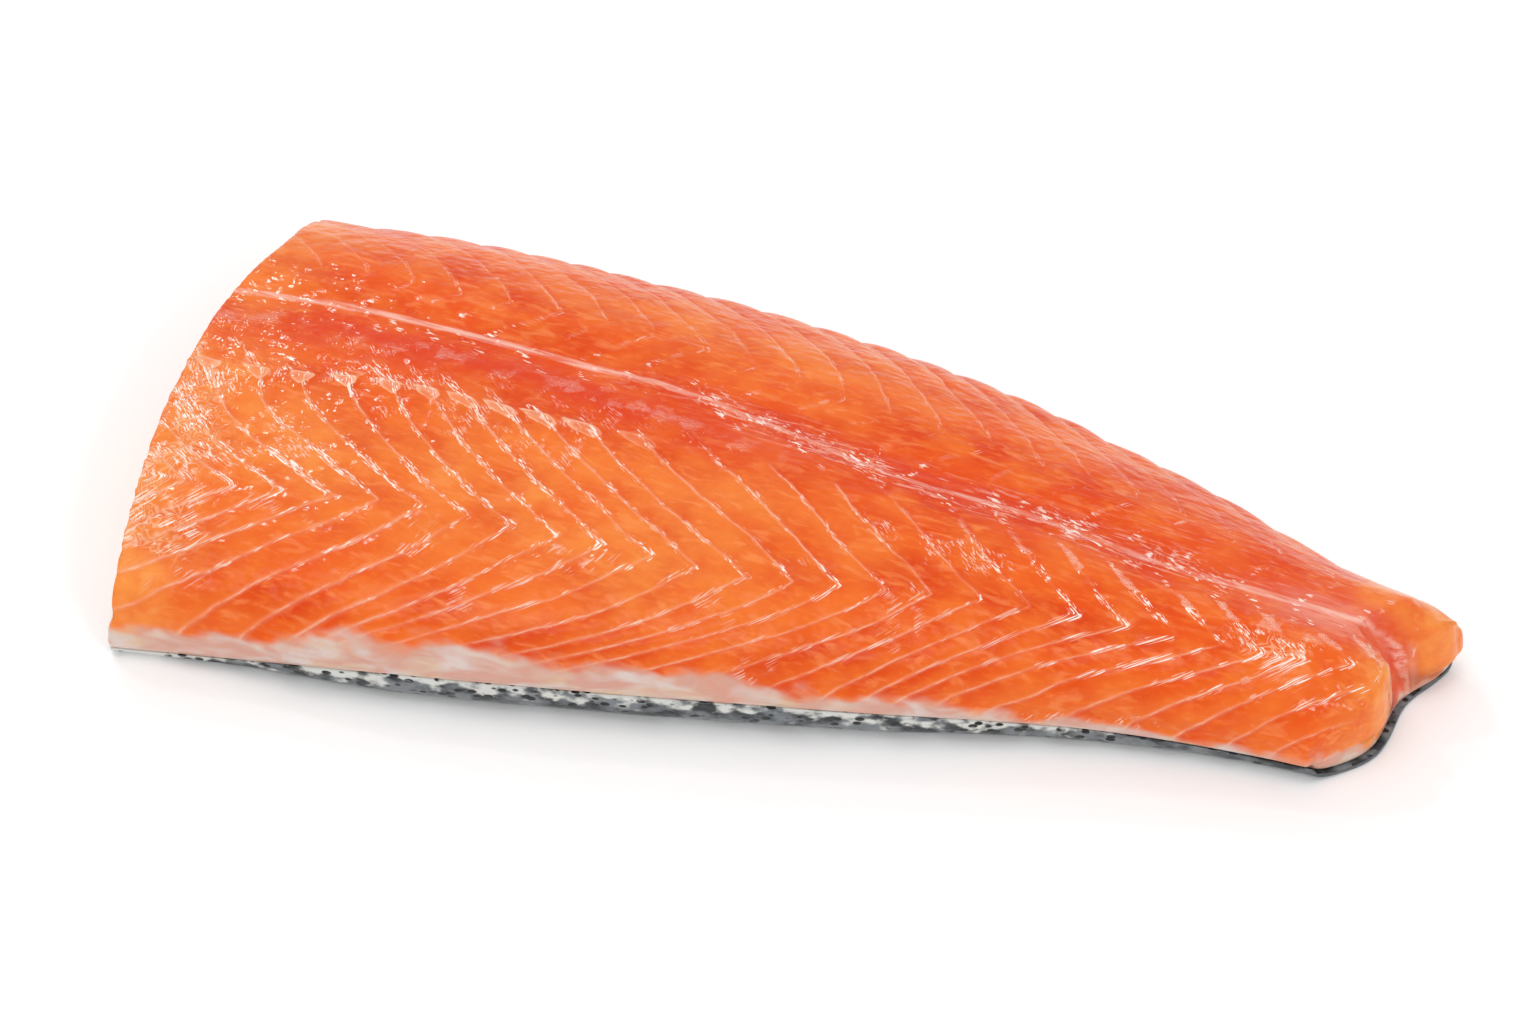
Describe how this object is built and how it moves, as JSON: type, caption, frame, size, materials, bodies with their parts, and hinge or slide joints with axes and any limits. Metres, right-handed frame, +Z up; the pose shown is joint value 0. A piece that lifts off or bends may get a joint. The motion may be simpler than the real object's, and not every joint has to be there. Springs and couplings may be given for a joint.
{
  "type": "raw salmon fillet",
  "caption": "Tail piece of a raw salmon side lying skin down: thick orange flesh with pale lines between its flakes, on grey spotted skin.",
  "frame": {"origin": "under the middle of the fillet, on the level of the table it lies on", "axes": "+X towards the tail, -Y towards the belly edge, +Y towards the back edge, +Z up from the skin to the flesh side"},
  "size_m": [0.2712, 0.1404, 0.0265],
  "materials": {
    "salmon_flesh": "wet raw salmon: soft, slightly see-through orange with pale lines and a watery gloss",
    "salmon_skin": "wet fish skin: silver grey with dark spots and a watery gloss"
  },
  "bodies": {
    "root": {"flesh": "salmon_flesh", "skin": "salmon_skin"}
  },
  "joints": []
}
